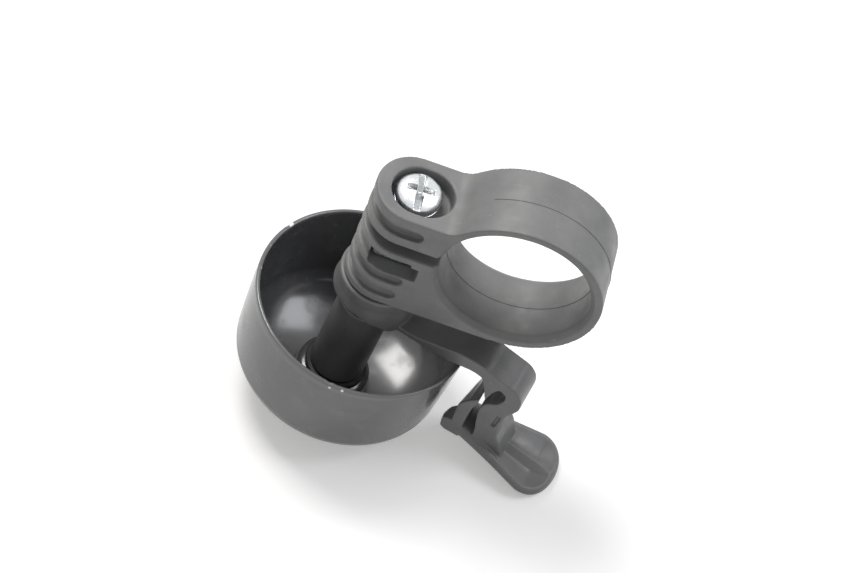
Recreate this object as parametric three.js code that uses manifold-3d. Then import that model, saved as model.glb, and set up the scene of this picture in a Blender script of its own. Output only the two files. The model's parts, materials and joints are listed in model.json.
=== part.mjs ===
// Bicycle bell, clamped to a 22.2 mm handlebar by a plastic bracket with a side strap.
//
// Frame: millimetres, +Z up. The origin is the centre of the handlebar bore. Y runs along the
// handlebar. The bell post stands parallel to Z at negative X; its dome hangs below the bracket
// with the mouth facing +Z, and the clamp screw goes in from the top of the strap's ear.
// The striker lever turns around the post and reaches past the dome's mouth on the +X side.
// Lever pieces are drawn in their own frame: s away from the post, w across the lever, z up.

import * as THREE from 'three';
import { mergeVertices } from 'three/addons/utils/BufferGeometryUtils.js';
import Module from 'manifold-3d';

// ---------------------------------------------------------------- driving dimensions

// General fits
const GAP = 0.3;                 // clearance between neighbouring pieces
const OVERCUT = 2;               // how far a cutter runs past the face that it opens

// Handlebar band
const BORE_RADIUS = 11.1;        // 22.2 mm handlebar
const BAND_WALL = 1.9;
const BAND_WIDTH = 11.8;         // along the handlebar
const SPLIT_HEIGHT = 2.2;        // open slot that the clamp screw closes
const HINGE_SLOT = 0.3;          // flexing line of the strap, opposite the post

// Post of the bracket
const POST_X = -17.9;            // axis of the post, the dome and the striker's hub
const POST_RADIUS = 5.9;         // at the shoulder; the round end narrows toward the ear
const POST_TAPER = 0.45;         // how much less far the round end reaches at the ear's top
const POST_BOTTOM = -13.1;       // shoulder that the striker's hub sits under
const EAR_TOP = 7.1;
const NECK_RADIUS = 3;           // fillet between the ear's top and the band
const SPIGOT_RADIUS = 3.6;
const SPIGOT_LENGTH = 7.3;

// Grip grooves around the post
const GROOVE_HEIGHT = 2.1;
const GROOVE_DEPTH = 1.0;
const GROOVES = [                // centre height and how far each one runs toward the band
  { z: 4.0, end: -14.6 },
  { z: -7.15, end: -15.0 },
  { z: -10.6, end: -15.2 },
];
const NUT_GROOVE = { z: -3.5, end: -19.5 };

// Clamp screw, its washer and its square nut
const CLAMP_X = -17.24;
const CLAMP_SHANK_RADIUS = 1.85;
const CLAMP_SHANK_LENGTH = 12.6;
const CLAMP_HEAD_RADIUS = 3.45;
const CLAMP_HEAD_HEIGHT = 2.1;
const CLAMP_SOCKET = 0.8;        // width of the cross recess
const CLAMP_SOCKET_DEPTH = 1.1;
const WASHER_RADIUS = 3.4;
const WASHER_THICKNESS = 0.6;
const WASHER_HOLE = 2.2;
const COUNTERBORE_RADIUS = 4.15;
const COUNTERBORE_SLOT = 1.0;    // the counterbore is drawn out toward the band by this much
const COUNTERBORE_FLOOR = 4.4;
const SHANK_CLEARANCE = 0.5;
const CLAMP_TRAVEL = 1.75;       // how far the screw goes in as it closes the split
const NUT_SIDE = 7.0;
const NUT_THICKNESS = 2.2;
const NUT_TOP = -3.35;

// Dome
const RIM_Z = -21.43;
const RIM_RADIUS = 17;
const SKIRT_DEPTH = 13.6;        // nearly straight wall below the rim
const SKIRT_RADIUS = 16.4;
const DOME_DEPTH = 20.5;         // of the full oval, before its crown is dished
const DOME_WALL = 0.7;
const DISH_RADIUS = 5.2;
const DISH_Z = -39.5;            // outer face of the dished crown
const DISH_CORNER = 1.0;
const DOME_LEAN = { x: -1.8, y: 2.7 };  // degrees: the spigot and all it carries lean on the post

// Dome fixing
const DOME_SCREW_RADIUS = 1.85;
const DOME_SCREW_TOP = -12;
const DOME_HEAD_RADIUS = 3.8;
const DOME_HEAD_HEIGHT = 1.4;
const ISOLATOR_RADIUS = 4.8;
const ISOLATOR_THICKNESS = 0.8;
const SPACER_RADIUS = 4.3;
const SCREW_HOLE = 2.2;          // in the spigot, spacer, isolator and dome

// Striker hub and arm
const LEVER_ANGLE = -12.5;       // degrees about the post, from +X
const HUB_TOP_RADIUS = 6.2;
const HUB_BOTTOM_RADIUS = 6.6;
const HUB_SKIRT_Z = -17.3;       // lower edge of the hub away from the arm
const HUB_BOTTOM_Z = -20.3;      // lower edge of the hub at the arm
const HUB_CLEARANCE = 0.7;       // room for the leaning spigot
const LEVER_WIDTH = 5.9;
const ARM_THICKNESS = 2.5;
const HOOK_RADIUS = 2.75;        // outer radius of the spring hook
const HOOK_S = 24.65;            // centre of the hook
const HOOK_Z = -22.4;
const ARM_TOP_Z = -18.0;         // highest point of the arched arm
const FLEX_GAP = 0.6;            // the hook is parted here, at its flexing point
const STOP_TIP = { s: 22.1, z: -24.7 };

// Hammer and thumb paddle
const NOSE_RADIUS = 2.0;         // striking nose, in plan
const NOSE_S = 17.3;             // face of the nose, clear of the dome at rest
const NOSE_W = -1.6;             // the nose stands on the near half of the hammer
const NOSE_TOP_Z = -33.8;
const HAMMER_TOP_Z = -29.2;
const WALL_S = 19.0;             // upright wall of the hammer, above and beside the nose
const HAMMER_SKEW = 0.95;        // how much further out the wall is at its far end
const HAMMER_BACK_S = 20.9;
const HAMMER_PEAK = { s: 21.3, z: -26.3 };  // the sloping top ends here, beside the arm's stop
const PADDLE_END_S = 36.9;
const PADDLE_HALF_WIDTH = 5.7;
const PADDLE_THICKNESS = 1.8;
const RIDGE_HEIGHT = 0.9;
const PADDLE_RIM = 0.8;

// ---------------------------------------------------------------- colours

const PLASTIC_GREY = { color: 0x55565a, roughness: 0.62, metalness: 0 };
const PLASTIC_BLACK = { color: 0x2b2c30, roughness: 0.45, metalness: 0 };
const PAINTED_STEEL = { color: 0x141416, roughness: 0.15, metalness: 0 };
const ZINC = { color: 0xc9ccd0, roughness: 0.3, metalness: 1 };
const RUBBER_BLACK = { color: 0x1b1b1c, roughness: 0.8, metalness: 0 };

// ---------------------------------------------------------------- solids

const wasm = await Module();
wasm.setup();

function toSolid(geometry) {
  const bare = geometry.index ? geometry.toNonIndexed() : geometry.clone();
  bare.deleteAttribute('normal');
  bare.deleteAttribute('uv');
  const merged = mergeVertices(bare, 1e-5);
  return new wasm.Manifold(new wasm.Mesh({
    numProp: 3,
    vertProperties: new Float32Array(merged.attributes.position.array),
    triVerts: new Uint32Array(merged.index.array),
  }));
}

function toGeometry(solid) {
  const mesh = solid.getMesh();
  const geometry = new THREE.BufferGeometry();
  geometry.setAttribute('position', new THREE.BufferAttribute(new Float32Array(mesh.vertProperties), 3));
  geometry.setIndex(new THREE.BufferAttribute(new Uint32Array(mesh.triVerts), 1));
  geometry.computeVertexNormals();
  return geometry;
}

// A solid with the outline (x, z), centred on the plane y = 0.
function plate(shape, width, curveSegments = 12) {
  const geometry = new THREE.ExtrudeGeometry(shape, { depth: width, bevelEnabled: false, curveSegments });
  geometry.rotateX(Math.PI / 2);
  geometry.translate(0, width / 2, 0);
  return toSolid(geometry);
}

// A solid with the plan outline (x, y), from z = low to z = high.
function column(shape, low, high, curveSegments = 12) {
  const geometry = new THREE.ExtrudeGeometry(shape, { depth: high - low, bevelEnabled: false, curveSegments });
  geometry.translate(0, 0, low);
  return toSolid(geometry);
}

function outline(points) {
  return new THREE.Shape(points.map(([a, b]) => new THREE.Vector2(a, b)));
}

function box(lowX, highX, lowY, highY, lowZ, highZ) {
  const geometry = new THREE.BoxGeometry(highX - lowX, highY - lowY, highZ - lowZ);
  geometry.translate((lowX + highX) / 2, (lowY + highY) / 2, (lowZ + highZ) / 2);
  return toSolid(geometry);
}

// An upright cylinder or cone frustum.
function upright(x, y, bottomRadius, topRadius, low, high, segments = 40) {
  const geometry = new THREE.CylinderGeometry(topRadius, bottomRadius, high - low, segments);
  geometry.rotateX(Math.PI / 2);
  geometry.translate(x, y, (low + high) / 2);
  return toSolid(geometry);
}

function crosswise(radius, width, x = 0, z = 0, segments = 72) {
  const geometry = new THREE.CylinderGeometry(radius, radius, width, segments);
  geometry.translate(x, 0, z);
  return toSolid(geometry);
}

// A solid turned about the vertical line through (x, 0), from a closed (radius, z) profile.
function turned(profile, x, segments = 64) {
  const closed = [...profile, profile[0]].map(([r, z]) => new THREE.Vector2(r, z));
  const geometry = new THREE.LatheGeometry(closed, segments);
  geometry.rotateX(Math.PI / 2);
  geometry.translate(x, 0, 0);
  return toSolid(geometry);
}

function arc(centreA, centreB, radius, fromDegrees, toDegrees, steps) {
  return Array.from({ length: steps + 1 }, (_, i) => {
    const angle = THREE.MathUtils.degToRad(fromDegrees + (toDegrees - fromDegrees) * i / steps);
    return [centreA + radius * Math.cos(angle), centreB + radius * Math.sin(angle)];
  });
}

// Leans a solid of the dome's stack about the middle of the post's shoulder.
function leaning(solid) {
  return solid.translate([-POST_X, 0, -POST_BOTTOM])
    .rotate([DOME_LEAN.x, DOME_LEAN.y, 0])
    .translate([POST_X, 0, POST_BOTTOM]);
}

// ---------------------------------------------------------------- bracket and strap

const BAND_RADIUS = BORE_RADIUS + BAND_WALL;
const HALF_WIDTH = BAND_WIDTH / 2;

// Draws in the round end of the post, more toward the ear than at the shoulder.
function tapered(solid) {
  const span = EAR_TOP - POST_BOTTOM;
  return solid.warp((point) => {
    if (point[0] < POST_X) {
      const rise = THREE.MathUtils.clamp((point[2] - POST_BOTTOM) / span, 0, 1);
      point[0] = POST_X + (point[0] - POST_X) * (1 - rise * POST_TAPER / POST_RADIUS);
    }
  });
}

// The whole bracket moulding, before the bore and the split are cut.
function bracketBlank() {
  const neckReach = BAND_RADIUS + NECK_RADIUS;
  const neckZ = EAR_TOP + NECK_RADIUS;
  const neckX = -Math.sqrt(neckReach ** 2 - neckZ ** 2);
  const neckEnd = THREE.MathUtils.radToDeg(Math.atan2(-neckZ, -neckX));
  const shoulder = outline([
    [POST_X - POST_RADIUS, POST_BOTTOM],
    [0, POST_BOTTOM],
    [0, 0],
    ...arc(neckX, neckZ, NECK_RADIUS, neckEnd, -90, 8),
    [POST_X - POST_RADIUS, EAR_TOP],
  ]);
  const side = plate(shoulder, BAND_WIDTH).add(crosswise(BAND_RADIUS, BAND_WIDTH));
  return side.intersect(tapered(column(postPlan(0), POST_BOTTOM, EAR_TOP).add(
    column(postPlan(0), EAR_TOP - 0.1, BAND_RADIUS + OVERCUT))));
}

// Plan of the bracket: a round end at the post and straight sides toward the band.
function postPlan(inset) {
  const radius = POST_RADIUS - inset;
  return outline([
    [BAND_RADIUS + OVERCUT, -radius],
    [BAND_RADIUS + OVERCUT, radius],
    ...arc(POST_X, 0, radius, 90, 270, 20),
  ]);
}

// A groove wrapped around the post, with rounded ends on both side faces.
function groove({ z, end }) {
  const half = GROOVE_HEIGHT / 2;
  const left = POST_X - POST_RADIUS - OVERCUT;
  const slot = plate(outline([
    [left, z - half],
    ...arc(end - half, z, half, -90, 90, 8),
    [left, z + half],
  ]), BAND_WIDTH + 2 * OVERCUT);
  return slot.subtract(tapered(column(postPlan(GROOVE_DEPTH), POST_BOTTOM, EAR_TOP)));
}

function bandBore() {
  return crosswise(BORE_RADIUS, BAND_WIDTH + 2 * OVERCUT);
}

function shankHole(low, high) {
  const radius = CLAMP_SHANK_RADIUS + SHANK_CLEARANCE;
  return upright(CLAMP_X, 0, radius, radius, low, high, 28);
}

function makeBracket() {
  const lower = box(-50, 0, -20, 20, -60, -SPLIT_HEIGHT / 2)
    .add(box(-1, 50, -20, 20, -60, -HINGE_SLOT / 2));
  const nutBottom = NUT_TOP - NUT_THICKNESS - GAP;
  const pocketLeft = CLAMP_X - NUT_SIDE / 2 - GAP;
  const pocketRight = CLAMP_X + NUT_SIDE / 2 + GAP;
  const pocketBack = NUT_SIDE / 2 + GAP;
  let solid = bracketBlank().subtract(bandBore()).intersect(lower);
  for (const each of GROOVES.filter(({ z }) => z < 0)) {
    solid = solid.subtract(groove(each));
  }
  solid = solid.subtract(groove(NUT_GROOVE));
  solid = solid.subtract(box(pocketLeft, pocketRight, -HALF_WIDTH - OVERCUT, pocketBack, nutBottom, NUT_TOP + GAP));
  solid = solid.subtract(box(pocketLeft, pocketRight - 1.3, -HALF_WIDTH - OVERCUT, -NUT_SIDE / 2 + 1,
    NUT_TOP, NUT_TOP + 0.9));
  const clampEnd = COUNTERBORE_FLOOR - CLAMP_SHANK_LENGTH - CLAMP_TRAVEL;
  solid = solid.subtract(shankHole(clampEnd + GAP, 0));
  const spigotEnd = POST_BOTTOM - SPIGOT_LENGTH;
  const spigot = upright(POST_X, 0, SPIGOT_RADIUS, SPIGOT_RADIUS, spigotEnd, POST_BOTTOM + 0.8, 36);
  const hole = upright(POST_X, 0, SCREW_HOLE, SCREW_HOLE, spigotEnd - OVERCUT, DOME_SCREW_TOP + GAP, 28);
  return solid.add(leaning(spigot)).subtract(leaning(hole));
}

function makeStrap() {
  const upper = box(-50, 0, -20, 20, SPLIT_HEIGHT / 2, 60)
    .add(box(-1, 50, -20, 20, HINGE_SLOT / 2, 60));
  let solid = bracketBlank().subtract(bandBore()).intersect(upper);
  for (const each of GROOVES.filter(({ z }) => z > 0)) {
    solid = solid.subtract(groove(each));
  }
  const pocket = upright(CLAMP_X, 0, COUNTERBORE_RADIUS, COUNTERBORE_RADIUS, COUNTERBORE_FLOOR, EAR_TOP + OVERCUT, 40);
  const drawnOut = pocket.translate([COUNTERBORE_SLOT, 0, 0]);
  const between = box(CLAMP_X, CLAMP_X + COUNTERBORE_SLOT, -COUNTERBORE_RADIUS, COUNTERBORE_RADIUS,
    COUNTERBORE_FLOOR, EAR_TOP + OVERCUT);
  return solid.subtract(pocket).subtract(drawnOut).subtract(between)
    .subtract(shankHole(0, COUNTERBORE_FLOOR + OVERCUT));
}

// ---------------------------------------------------------------- clamp fasteners

const WASHER_BOTTOM = COUNTERBORE_FLOOR + GAP;
const CLAMP_HEAD_BOTTOM = WASHER_BOTTOM + WASHER_THICKNESS + GAP;

function makeClampWasher() {
  return turned([
    [WASHER_HOLE, WASHER_BOTTOM],
    [WASHER_RADIUS, WASHER_BOTTOM],
    [WASHER_RADIUS, WASHER_BOTTOM + WASHER_THICKNESS],
    [WASHER_HOLE, WASHER_BOTTOM + WASHER_THICKNESS],
  ], CLAMP_X, 40);
}

// Pan head with a cross recess, on a plain shank whose thread is left out.
function panScrew(x, headBottom, headRadius, headHeight, shankRadius, tipZ, down = 1) {
  const top = headBottom + down * headHeight;
  const profile = [
    [0, tipZ],
    [shankRadius - 0.4, tipZ],
    [shankRadius, tipZ + down * 0.5],
    [shankRadius, headBottom],
    [headRadius - 0.15, headBottom],
    [headRadius, headBottom + down * 0.3 * headHeight],
    [headRadius - 0.25, headBottom + down * 0.62 * headHeight],
    [headRadius * 0.72, headBottom + down * 0.9 * headHeight],
    [headRadius * 0.4, top],
    [0, top],
  ];
  const solid = turned(down > 0 ? profile : profile.reverse(), x, 36);
  const arm = headRadius * 0.62;
  const half = CLAMP_SOCKET / 2;
  const floor = top - down * CLAMP_SOCKET_DEPTH;
  const low = Math.min(floor, top + down * OVERCUT);
  const high = Math.max(floor, top + down * OVERCUT);
  return solid
    .subtract(box(x - arm, x + arm, -half, half, low, high))
    .subtract(box(x - half, x + half, -arm, arm, low, high));
}

function makeClampScrew() {
  const tip = CLAMP_HEAD_BOTTOM - CLAMP_SHANK_LENGTH;
  return panScrew(CLAMP_X, CLAMP_HEAD_BOTTOM, CLAMP_HEAD_RADIUS, CLAMP_HEAD_HEIGHT, CLAMP_SHANK_RADIUS, tip);
}

function makeClampNut() {
  const half = NUT_SIDE / 2;
  const blank = box(CLAMP_X - half, CLAMP_X + half, -half, half, NUT_TOP - NUT_THICKNESS, NUT_TOP);
  const bore = CLAMP_SHANK_RADIUS + GAP;
  return blank.subtract(upright(CLAMP_X, 0, bore, bore, NUT_TOP - NUT_THICKNESS - 1, NUT_TOP + 1, 28));
}

// ---------------------------------------------------------------- dome and its fixing

// Wall line of the dome: skirt, oval cap and dished crown, moved inward by inset.
function domeLine(inset) {
  const capZ = RIM_Z - SKIRT_DEPTH;
  const capDepth = DOME_DEPTH - SKIRT_DEPTH - inset;
  const capRadius = SKIRT_RADIUS - inset;
  const lipRadius = DISH_RADIUS + DISH_CORNER - (inset > 0 ? 0.2 : 0);
  const lipAngle = Math.acos(lipRadius / capRadius);
  const cap = Array.from({ length: 12 }, (_, i) => {
    const angle = lipAngle * i / 11;
    return [capRadius * Math.cos(angle), capZ - capDepth * Math.sin(angle)];
  });
  const dishWall = DISH_RADIUS - inset;
  const dishZ = DISH_Z + inset;
  const lowest = cap[cap.length - 1][1];
  const lip = inset > 0 ? [] : [[DISH_RADIUS + 0.35, lowest - 0.02], [DISH_RADIUS, lowest + 0.35]];
  const crown = inset > 0 ? [[DISH_RADIUS + DOME_WALL, dishZ + 0.2], [DISH_RADIUS + 0.2, dishZ]] : [[dishWall, dishZ]];
  const bulge = (RIM_RADIUS - SKIRT_RADIUS) * 0.25;
  return [
    [RIM_RADIUS - inset, RIM_Z],
    [RIM_RADIUS - inset - bulge, RIM_Z - SKIRT_DEPTH / 2],
    ...cap,
    ...lip,
    ...crown,
    [SCREW_HOLE, dishZ],
  ];
}

function makeDome() {
  const outer = domeLine(0);
  const inner = domeLine(DOME_WALL);
  return turned([...inner, ...outer.reverse()], POST_X, 64);
}

const CROWN_INSIDE = DISH_Z + DOME_WALL;
const SPACER_BOTTOM = CROWN_INSIDE + GAP + ISOLATOR_THICKNESS + GAP;
const SPACER_TOP = POST_BOTTOM - SPIGOT_LENGTH - GAP;

function ring(inner, outer, low, high, segments) {
  return turned([[inner, low], [outer, low], [outer, high], [inner, high]], POST_X, segments);
}

function makeIsolator() {
  return ring(SCREW_HOLE, ISOLATOR_RADIUS, CROWN_INSIDE + GAP, CROWN_INSIDE + GAP + ISOLATOR_THICKNESS, 40);
}

function makeSpacer() {
  return ring(SCREW_HOLE, SPACER_RADIUS, SPACER_BOTTOM, SPACER_TOP, 40);
}

function makeDomeScrew() {
  const headTop = DISH_Z - GAP;
  return panScrew(POST_X, headTop, DOME_HEAD_RADIUS, DOME_HEAD_HEIGHT, DOME_SCREW_RADIUS, DOME_SCREW_TOP, -1);
}

// ---------------------------------------------------------------- striker lever, in its own frame

const HALF_LEVER = LEVER_WIDTH / 2;
const FLEX_Z = HOOK_Z - 0.8;     // height of the flexing line, level with the hook's outermost point

// Hub: a conical ring under the post's shoulder, cut on a slant below so that it deepens at the arm.
function leverHub() {
  const top = POST_BOTTOM - GAP;
  const cone = upright(0, 0, HUB_BOTTOM_RADIUS, HUB_TOP_RADIUS, HUB_BOTTOM_Z, top, 48);
  const slant = plate(outline([
    [-HUB_BOTTOM_RADIUS - 1, HUB_SKIRT_Z],
    [0, HUB_SKIRT_Z - 0.2],
    [SPIGOT_RADIUS + 1, HUB_BOTTOM_Z],
    [HUB_BOTTOM_RADIUS + 1, HUB_BOTTOM_Z - 1],
    [HUB_BOTTOM_RADIUS + 1, top + 1],
    [-HUB_BOTTOM_RADIUS - 1, top + 1],
  ]), 2 * HUB_BOTTOM_RADIUS + 2);
  return cone.intersect(slant);
}

// Side view of the arched arm, its stop and the upper half of the spring hook.
function armOutline() {
  const hookInner = HOOK_RADIUS - ARM_THICKNESS * 0.94;
  return outline([
    [2, ARM_TOP_Z - 2.1],
    [2, HUB_BOTTOM_Z],
    [9, HUB_BOTTOM_Z - 0.5],
    [13, HUB_BOTTOM_Z - 0.5],
    [16, ARM_TOP_Z - ARM_THICKNESS - 0.1],
    [19.8, ARM_TOP_Z - ARM_THICKNESS],
    [21.2, ARM_TOP_Z - ARM_THICKNESS - 1.6],
    [STOP_TIP.s, STOP_TIP.z],
    [STOP_TIP.s + 0.45, STOP_TIP.z + 0.7],
    [23.3, -21.5],
    ...arc(HOOK_S - 0.35, HOOK_Z + 0.25, hookInner + 0.3, 100, 0, 4),
    [HOOK_S + 0.25, FLEX_Z + FLEX_GAP / 2],
    [HOOK_S + HOOK_RADIUS - 0.05, FLEX_Z + FLEX_GAP / 2],
    ...arc(HOOK_S, HOOK_Z, HOOK_RADIUS, 0, 62, 7),
    [24.3, -19.25],
    [21.5, -18.5],
    [19.8, ARM_TOP_Z - 0.05],
    [17, ARM_TOP_Z],
    [13.6, ARM_TOP_Z - 0.5],
    [9, ARM_TOP_Z - 1.5],
  ]);
}

function makeLeverArm() {
  const arm = plate(armOutline(), LEVER_WIDTH);
  const bore = SPIGOT_RADIUS + HUB_CLEARANCE;
  return leverHub().add(arm).subtract(upright(0, 0, bore, bore, -40, 0, 40));
}

// Half width of the lever along its length: narrow at the hammer, a spoon at the end.
function paddleHalfWidth(s) {
  const start = 22;
  const widest = 32.5;
  if (s <= start) {
    return HALF_LEVER;
  }
  if (s <= widest) {
    const t = (s - start) / (widest - start);
    return HALF_LEVER + (PADDLE_HALF_WIDTH - HALF_LEVER) * t * (1.45 - 0.45 * t);
  }
  const t = (s - widest) / (PADDLE_END_S - widest);
  return PADDLE_HALF_WIDTH * Math.sqrt(Math.max(0, 1 - t ** 2.4));
}

function paddleStations() {
  const even = Array.from({ length: 9 }, (_, i) => 20 + (32.5 - 20) * i / 8);
  const tip = Array.from({ length: 8 }, (_, i) => 32.5 + (PADDLE_END_S - 32.5) * Math.sin((i + 1) / 8 * Math.PI / 2));
  return [...even, ...tip];
}

function paddlePlan(inset) {
  const near = paddleStations().map((s) => [s, -Math.max(0, paddleHalfWidth(s + inset) - inset)]);
  const kept = near.filter(([, w]) => w < -0.05);
  const tip = [[PADDLE_END_S - inset, 0]];
  const far = kept.map(([s, w]) => [s, -w]).reverse();
  return outline([[17, -HALF_LEVER], ...kept, ...tip, ...far, [17, HALF_LEVER]]);
}

// The underside of the paddle falls away from the hammer by one part in six.
function paddleBottom(s) {
  return -36.0 - (s - 18) / 6;
}

// A long low roof from s = start to s = end, on a floor that falls from startZ to endZ.
function roof(start, end, startZ, endZ, halfBase, height) {
  const section = outline([[-halfBase, -0.2], [halfBase, -0.2], [halfBase, 0], [0.25, height], [-0.25, height], [-halfBase, 0]]);
  const length = Math.hypot(end - start, endZ - startZ);
  const geometry = new THREE.ExtrudeGeometry(section, { depth: length, bevelEnabled: false });
  geometry.rotateX(Math.PI / 2);
  geometry.rotateZ(Math.PI / 2);
  geometry.rotateY(Math.atan2(startZ - endZ, end - start));
  geometry.translate(start, 0, startZ);
  return toSolid(geometry);
}

function makeHammerLever() {
  const top = PADDLE_THICKNESS;
  const slab = plate(outline([
    [HAMMER_BACK_S - 0.9, paddleBottom(HAMMER_BACK_S) - 0.2],
    [24, paddleBottom(24)],
    [PADDLE_END_S + 1, paddleBottom(PADDLE_END_S + 1)],
    [PADDLE_END_S + 1, paddleBottom(PADDLE_END_S + 1) + top],
    [29, paddleBottom(29) + top + 0.1],
    [26.5, paddleBottom(26.5) + top + 1.0],
    [22, paddleBottom(22) + 2.6],
    [HAMMER_BACK_S - 0.9, paddleBottom(HAMMER_BACK_S) + 2.7],
  ]), 3 * PADDLE_HALF_WIDTH);
  const blade = slab.intersect(column(paddlePlan(0), -50, -20));

  const floor = (s) => paddleBottom(s) + top - 0.5;
  const dish = plate(outline([
    [25.5, floor(25.5)],
    [PADDLE_END_S, floor(PADDLE_END_S)],
    [PADDLE_END_S, -30],
    [25.5, -30],
  ]), 3 * PADDLE_HALF_WIDTH).intersect(column(paddlePlan(PADDLE_RIM), -50, -20));
  const ridge = roof(25, 35, floor(25), floor(35), 2.6, RIDGE_HEIGHT);

  const hammerBottom = HAMMER_TOP_Z - 7.6;
  const wall = plate(outline([
    [WALL_S, hammerBottom],
    [HAMMER_BACK_S, hammerBottom],
    [HAMMER_BACK_S, HAMMER_TOP_Z - 0.5],
    [HAMMER_PEAK.s + 0.2, HAMMER_PEAK.z - 0.9],
    [HAMMER_PEAK.s, HAMMER_PEAK.z],
    [WALL_S + 1.3, HAMMER_TOP_Z + 1.7],
    [WALL_S, HAMMER_TOP_Z],
  ]), LEVER_WIDTH);
  const nosePlan = column(outline([
    [HAMMER_BACK_S, -HALF_LEVER],
    [HAMMER_BACK_S, 0.4],
    [NOSE_S + 1.7, 0.4],
    ...arc(NOSE_S + NOSE_RADIUS, NOSE_W, NOSE_RADIUS, 110, 225, 10),
    [NOSE_S + 0.9, -HALF_LEVER],
  ]), -50, -20);
  const noseSide = plate(outline([
    [HAMMER_BACK_S, NOSE_TOP_Z],
    [NOSE_S + 1.1, NOSE_TOP_Z],
    [NOSE_S + 0.3, NOSE_TOP_Z - 0.35],
    [NOSE_S, NOSE_TOP_Z - 1.0],
    [NOSE_S, NOSE_TOP_Z - 1.9],
    [NOSE_S + 0.35, NOSE_TOP_Z - 2.5],
    [NOSE_S + 1.1, hammerBottom],
    [HAMMER_BACK_S, hammerBottom],
  ]), 2 * LEVER_WIDTH);
  const hammer = wall.add(nosePlan.intersect(noseSide)).warp((point) => {
    const near = THREE.MathUtils.clamp((HAMMER_BACK_S - point[0]) / (HAMMER_BACK_S - WALL_S), 0, 1);
    point[0] += HAMMER_SKEW * near * (point[1] + HALF_LEVER) / LEVER_WIDTH;
  });

  const lowerHook = plate(outline([
    [HOOK_S + 0.3, FLEX_Z - FLEX_GAP / 2],
    [HOOK_S + HOOK_RADIUS - 0.05, FLEX_Z - FLEX_GAP / 2],
    [27.05, -24.6],
    [26.4, -25.6],
    [26.0, -27.0],
    [25.8, -30.0],
    [26.2, -32.2],
    [27.6, -34.6],
    [27.6, -36.2],
    [22.9, -36.2],
    [22.9, -33.0],
    [22.3, -30.4],
    [22.0, -28.5],
    [22.25, -26.7],
    [23.0, -25.6],
    [24.1, -25.0],
    [24.7, -24.4],
  ]), LEVER_WIDTH);
  return blade.subtract(dish).add(ridge).add(hammer).add(lowerHook);
}

// ---------------------------------------------------------------- assembly

function piece(name, solid, finish) {
  const mesh = new THREE.Mesh(toGeometry(solid), new THREE.MeshStandardMaterial(finish));
  mesh.name = name;
  return mesh;
}

const bell = new THREE.Group();
bell.add(piece('bracket', makeBracket(), PLASTIC_GREY));
bell.add(piece('clamp_strap', makeStrap(), PLASTIC_GREY));
bell.add(piece('clamp_washer', makeClampWasher(), ZINC));
bell.add(piece('clamp_screw', makeClampScrew(), ZINC));
bell.add(piece('clamp_nut', makeClampNut(), ZINC));
bell.add(piece('bell_dome', leaning(makeDome()), PAINTED_STEEL));
bell.add(piece('dome_isolator', leaning(makeIsolator()), RUBBER_BLACK));
bell.add(piece('dome_spacer', leaning(makeSpacer()), PLASTIC_BLACK));
bell.add(piece('dome_screw', leaning(makeDomeScrew()), ZINC));

const lever = new THREE.Group();
lever.position.set(POST_X, 0, 0);
lever.rotation.z = THREE.MathUtils.degToRad(LEVER_ANGLE);
lever.add(piece('lever_arm', makeLeverArm(), PLASTIC_BLACK));
lever.add(piece('hammer_lever', makeHammerLever(), PLASTIC_BLACK));
bell.add(lever);

export default bell;
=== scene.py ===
import json
import logging
import math
from dataclasses import dataclass, field
from enum import Enum
from typing import Sequence

import bmesh
import bpy
import numpy as np
from mathutils import Matrix, Vector

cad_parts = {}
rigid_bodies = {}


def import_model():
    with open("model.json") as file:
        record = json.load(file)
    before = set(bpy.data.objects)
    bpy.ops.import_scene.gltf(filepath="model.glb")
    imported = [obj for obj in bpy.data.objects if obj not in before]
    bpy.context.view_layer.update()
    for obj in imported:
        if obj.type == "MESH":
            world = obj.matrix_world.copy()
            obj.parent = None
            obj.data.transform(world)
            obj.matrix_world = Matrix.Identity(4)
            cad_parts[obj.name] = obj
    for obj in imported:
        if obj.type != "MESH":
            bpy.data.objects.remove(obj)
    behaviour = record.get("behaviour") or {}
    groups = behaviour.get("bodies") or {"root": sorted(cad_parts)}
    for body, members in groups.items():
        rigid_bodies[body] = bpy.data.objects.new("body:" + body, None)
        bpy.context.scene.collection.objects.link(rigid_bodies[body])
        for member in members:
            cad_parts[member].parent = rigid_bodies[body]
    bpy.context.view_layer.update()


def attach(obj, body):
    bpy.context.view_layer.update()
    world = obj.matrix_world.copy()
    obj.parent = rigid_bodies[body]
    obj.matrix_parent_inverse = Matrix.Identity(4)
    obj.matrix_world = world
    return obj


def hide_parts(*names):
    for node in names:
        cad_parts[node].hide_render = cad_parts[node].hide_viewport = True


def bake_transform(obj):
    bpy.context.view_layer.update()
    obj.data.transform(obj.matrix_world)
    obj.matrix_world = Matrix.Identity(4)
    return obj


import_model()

Point2 = tuple[float, float]
MM = 0.001
log = logging.getLogger("bell")


class Axis(Enum):
    """The direction in which an outline is drawn out into a solid."""

    Y = "y"
    Z = "z"


# ---------------------------------------------------------------- shared sizes, in millimetres

POST_X = -17.9
SHOULDER_Z = -13.1
LEVER_ANGLE = math.radians(-12.5)
DOME_LEAN = (math.radians(-1.8), math.radians(2.7))
CLAMP_X = -17.24


# ---------------------------------------------------------------- mesh making


def new_mesh(name: str, vertices: Sequence, faces: Sequence) -> bpy.types.Mesh:
    """Makes a mesh from plain lists.

    Args:
        name: the mesh's name.
        vertices: corner points.
        faces: tuples of corner numbers.

    Returns:
        The mesh, with its faces turned outward.
    """
    mesh = bpy.data.meshes.new(name)
    mesh.from_pydata([tuple(map(float, v)) for v in vertices], [], [tuple(map(int, f)) for f in faces])
    mesh.validate()
    turn_outward(mesh)
    return mesh


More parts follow.
